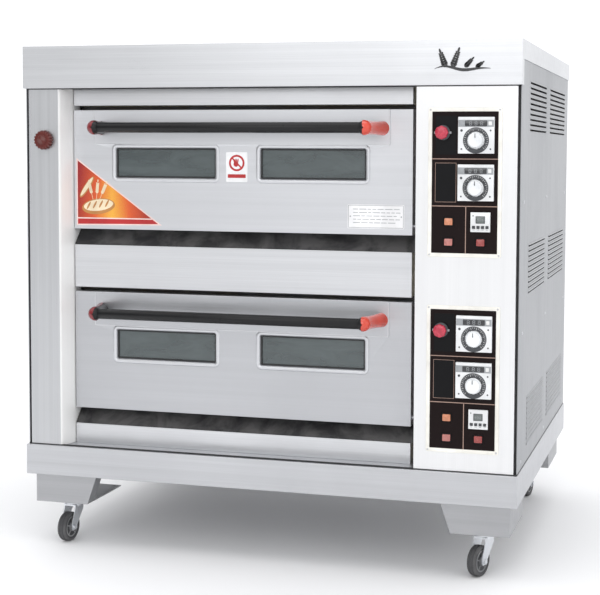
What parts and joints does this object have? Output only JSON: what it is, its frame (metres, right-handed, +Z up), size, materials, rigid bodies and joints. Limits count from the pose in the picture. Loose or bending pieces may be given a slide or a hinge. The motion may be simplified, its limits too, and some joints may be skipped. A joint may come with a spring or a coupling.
{
  "type": "deck oven",
  "caption": "Two-deck bakery oven in brushed steel on swivel casters, with drop-down windowed doors, control panels at the right and a vent knob at the left.",
  "frame": {"origin": "on the floor under the middle of the oven", "axes": "+Z up, +X towards the user's right as they face the doors, +Y towards the back, so the doors face -Y"},
  "size_m": [1.27, 1.0762, 1.28],
  "materials": {
    "cabinet_steel": "brushed",
    "door_steel": "brushed",
    "dark_sheet": "satin",
    "hearth": "matte",
    "element": "matte",
    "wool": "matte",
    "zinc": "satin",
    "control_black": "gloss",
    "control_white": "satin",
    "duct_steel": "satin",
    "door_glass": "gloss",
    "handle": "gloss",
    "knob_red": "satin",
    "tread": "matte",
    "button_red": "gloss",
    "switch_red": "gloss",
    "key_grey": "satin"
  },
  "bodies": {
    "cabinet": {"base_frame": "cabinet_steel", "top_cap": "cabinet_steel", "left_column": "cabinet_steel", "control_column": "cabinet_steel", "left_side_panel": "cabinet_steel", "right_side_panel": "cabinet_steel", "back_panel": "cabinet_steel", "rails_and_posts": "cabinet_steel", "door_sills": "dark_sheet", "upper_chamber": "dark_sheet", "lower_chamber": "dark_sheet", "hearth_plates": "hearth", "heating_elements": "element", "insulation": "wool", "legs": "cabinet_steel", "caster_plates": "zinc", "control_plates": "control_black", "temperature_controllers": "control_white", "timers": "control_white", "vent_duct": "duct_steel", "terminal_box": "dark_sheet", "door_springs": "zinc"},
    "upper_door": {"upper_door_shell": "door_steel", "upper_door_liner": "dark_sheet", "upper_door_glass": "door_glass", "upper_door_handle": "handle"},
    "lower_door": {"lower_door_shell": "door_steel", "lower_door_liner": "dark_sheet", "lower_door_glass": "door_glass", "lower_door_handle": "handle"},
    "vent": {"vent_knob": "knob_red", "vent_damper": "duct_steel"},
    "upper_top_heat_knob": {"upper_top_heat_knob": "control_white"},
    "upper_bottom_heat_knob": {"upper_bottom_heat_knob": "control_white"},
    "lower_top_heat_knob": {"lower_top_heat_knob": "control_white"},
    "lower_bottom_heat_knob": {"lower_bottom_heat_knob": "control_white"},
    "upper_stop_button": {"upper_stop_button": "button_red"},
    "lower_stop_button": {"lower_stop_button": "button_red"},
    "upper_top_heat_switch": {"upper_top_heat_switch": "switch_red"},
    "upper_bottom_heat_switch": {"upper_bottom_heat_switch": "switch_red"},
    "upper_alarm_switch": {"upper_alarm_switch": "switch_red"},
    "lower_top_heat_switch": {"lower_top_heat_switch": "switch_red"},
    "lower_bottom_heat_switch": {"lower_bottom_heat_switch": "switch_red"},
    "lower_alarm_switch": {"lower_alarm_switch": "switch_red"},
    "upper_timer_key_1": {"upper_timer_key_1": "key_grey"},
    "upper_timer_key_2": {"upper_timer_key_2": "key_grey"},
    "upper_timer_key_3": {"upper_timer_key_3": "key_grey"},
    "upper_timer_key_4": {"upper_timer_key_4": "key_grey"},
    "lower_timer_key_1": {"lower_timer_key_1": "key_grey"},
    "lower_timer_key_2": {"lower_timer_key_2": "key_grey"},
    "lower_timer_key_3": {"lower_timer_key_3": "key_grey"},
    "lower_timer_key_4": {"lower_timer_key_4": "key_grey"},
    "fork_front_left": {"fork_front_left": "zinc"},
    "wheel_front_left": {"wheel_front_left": "tread"},
    "fork_front_right": {"fork_front_right": "zinc"},
    "wheel_front_right": {"wheel_front_right": "tread"},
    "fork_rear_left": {"fork_rear_left": "zinc"},
    "wheel_rear_left": {"wheel_rear_left": "tread"},
    "fork_rear_right": {"fork_rear_right": "zinc"},
    "wheel_rear_right": {"wheel_rear_right": "tread"}
  },
  "joints": [
    {"name": "upper_door_hinge", "type": "hinge", "parent": "cabinet", "child": "upper_door", "pos_m": [-0.078, -0.418, 0.838], "axis": [1, 0, 0], "range_deg": [0, 90], "stiffness_Nm_per_rad": 3, "springref_deg": -68.75},
    {"name": "lower_door_hinge", "type": "hinge", "parent": "cabinet", "child": "lower_door", "pos_m": [-0.078, -0.418, 0.374], "axis": [1, 0, 0], "range_deg": [0, 90], "stiffness_Nm_per_rad": 3, "springref_deg": -68.75},
    {"name": "vent_turn", "type": "hinge", "parent": "cabinet", "child": "vent", "pos_m": [-0.579, -0.495, 1.044], "axis": [0, 1, 0], "range_deg": [0, 90]},
    {"name": "upper_top_heat_knob_turn", "type": "hinge", "parent": "cabinet", "child": "upper_top_heat_knob", "pos_m": [0.5285, -0.509, 1.04585], "axis": [0, 1, 0], "range_deg": [-135, 135]},
    {"name": "upper_bottom_heat_knob_turn", "type": "hinge", "parent": "cabinet", "child": "upper_bottom_heat_knob", "pos_m": [0.5285, -0.509, 0.93555], "axis": [0, 1, 0], "range_deg": [-135, 135]},
    {"name": "lower_top_heat_knob_turn", "type": "hinge", "parent": "cabinet", "child": "lower_top_heat_knob", "pos_m": [0.5285, -0.509, 0.58185], "axis": [0, 1, 0], "range_deg": [-135, 135]},
    {"name": "lower_bottom_heat_knob_turn", "type": "hinge", "parent": "cabinet", "child": "lower_bottom_heat_knob", "pos_m": [0.5285, -0.509, 0.47155], "axis": [0, 1, 0], "range_deg": [-135, 135]},
    {"name": "upper_stop_button_press", "type": "slide", "parent": "cabinet", "child": "upper_stop_button", "axis": [0, 1, 0], "range_m": [0, 0.006], "stiffness_N_per_m": 1500, "springref_m": -0.003},
    {"name": "lower_stop_button_press", "type": "slide", "parent": "cabinet", "child": "lower_stop_button", "axis": [0, 1, 0], "range_m": [0, 0.006], "stiffness_N_per_m": 1500, "springref_m": -0.003},
    {"name": "upper_top_heat_switch_press", "type": "slide", "parent": "cabinet", "child": "upper_top_heat_switch", "axis": [0, 1, 0], "range_m": [0, 0.003], "stiffness_N_per_m": 800, "springref_m": -0.002},
    {"name": "upper_bottom_heat_switch_press", "type": "slide", "parent": "cabinet", "child": "upper_bottom_heat_switch", "axis": [0, 1, 0], "range_m": [0, 0.003], "stiffness_N_per_m": 800, "springref_m": -0.002},
    {"name": "upper_alarm_switch_press", "type": "slide", "parent": "cabinet", "child": "upper_alarm_switch", "axis": [0, 1, 0], "range_m": [0, 0.003], "stiffness_N_per_m": 800, "springref_m": -0.002},
    {"name": "lower_top_heat_switch_press", "type": "slide", "parent": "cabinet", "child": "lower_top_heat_switch", "axis": [0, 1, 0], "range_m": [0, 0.003], "stiffness_N_per_m": 800, "springref_m": -0.002},
    {"name": "lower_bottom_heat_switch_press", "type": "slide", "parent": "cabinet", "child": "lower_bottom_heat_switch", "axis": [0, 1, 0], "range_m": [0, 0.003], "stiffness_N_per_m": 800, "springref_m": -0.002},
    {"name": "lower_alarm_switch_press", "type": "slide", "parent": "cabinet", "child": "lower_alarm_switch", "axis": [0, 1, 0], "range_m": [0, 0.003], "stiffness_N_per_m": 800, "springref_m": -0.002},
    {"name": "upper_timer_key_1_press", "type": "slide", "parent": "cabinet", "child": "upper_timer_key_1", "axis": [0, 1, 0], "range_m": [0, 0.0008], "stiffness_N_per_m": 500, "springref_m": -0.0006},
    {"name": "upper_timer_key_2_press", "type": "slide", "parent": "cabinet", "child": "upper_timer_key_2", "axis": [0, 1, 0], "range_m": [0, 0.0008], "stiffness_N_per_m": 500, "springref_m": -0.0006},
    {"name": "upper_timer_key_3_press", "type": "slide", "parent": "cabinet", "child": "upper_timer_key_3", "axis": [0, 1, 0], "range_m": [0, 0.0008], "stiffness_N_per_m": 500, "springref_m": -0.0006},
    {"name": "upper_timer_key_4_press", "type": "slide", "parent": "cabinet", "child": "upper_timer_key_4", "axis": [0, 1, 0], "range_m": [0, 0.0008], "stiffness_N_per_m": 500, "springref_m": -0.0006},
    {"name": "lower_timer_key_1_press", "type": "slide", "parent": "cabinet", "child": "lower_timer_key_1", "axis": [0, 1, 0], "range_m": [0, 0.0008], "stiffness_N_per_m": 500, "springref_m": -0.0006},
    {"name": "lower_timer_key_2_press", "type": "slide", "parent": "cabinet", "child": "lower_timer_key_2", "axis": [0, 1, 0], "range_m": [0, 0.0008], "stiffness_N_per_m": 500, "springref_m": -0.0006},
    {"name": "lower_timer_key_3_press", "type": "slide", "parent": "cabinet", "child": "lower_timer_key_3", "axis": [0, 1, 0], "range_m": [0, 0.0008], "stiffness_N_per_m": 500, "springref_m": -0.0006},
    {"name": "lower_timer_key_4_press", "type": "slide", "parent": "cabinet", "child": "lower_timer_key_4", "axis": [0, 1, 0], "range_m": [0, 0.0008], "stiffness_N_per_m": 500, "springref_m": -0.0006},
    {"name": "swivel_front_left", "type": "hinge", "parent": "cabinet", "child": "fork_front_left", "pos_m": [-0.545, -0.405, 0.0913], "axis": [0, 0, 1], "continuous": true},
    {"name": "roll_front_left", "type": "hinge", "parent": "fork_front_left", "child": "wheel_front_left", "pos_m": [-0.54761, -0.43489, 0.0375], "axis": [0.9962, -0.0872, 0], "continuous": true},
    {"name": "swivel_front_right", "type": "hinge", "parent": "cabinet", "child": "fork_front_right", "pos_m": [0.545, -0.405, 0.0913], "axis": [0, 0, 1], "continuous": true},
    {"name": "roll_front_right", "type": "hinge", "parent": "fork_front_right", "child": "wheel_front_right", "pos_m": [0.53474, -0.43319, 0.0375], "axis": [0.9397, -0.342, 0], "continuous": true},
    {"name": "swivel_rear_left", "type": "hinge", "parent": "cabinet", "child": "fork_rear_left", "pos_m": [-0.545, 0.405, 0.0913], "axis": [0, 0, 1], "continuous": true},
    {"name": "roll_rear_left", "type": "hinge", "parent": "fork_rear_left", "child": "wheel_rear_left", "pos_m": [-0.53876, 0.37566, 0.0375], "axis": [0.9781, 0.2079, 0], "continuous": true},
    {"name": "swivel_rear_right", "type": "hinge", "parent": "cabinet", "child": "fork_rear_right", "pos_m": [0.545, 0.405, 0.0913], "axis": [0, 0, 1], "continuous": true},
    {"name": "roll_rear_right", "type": "hinge", "parent": "fork_rear_right", "child": "wheel_rear_right", "pos_m": [0.54083, 0.37529, 0.0375], "axis": [0.9903, -0.1392, 0], "continuous": true}
  ]
}
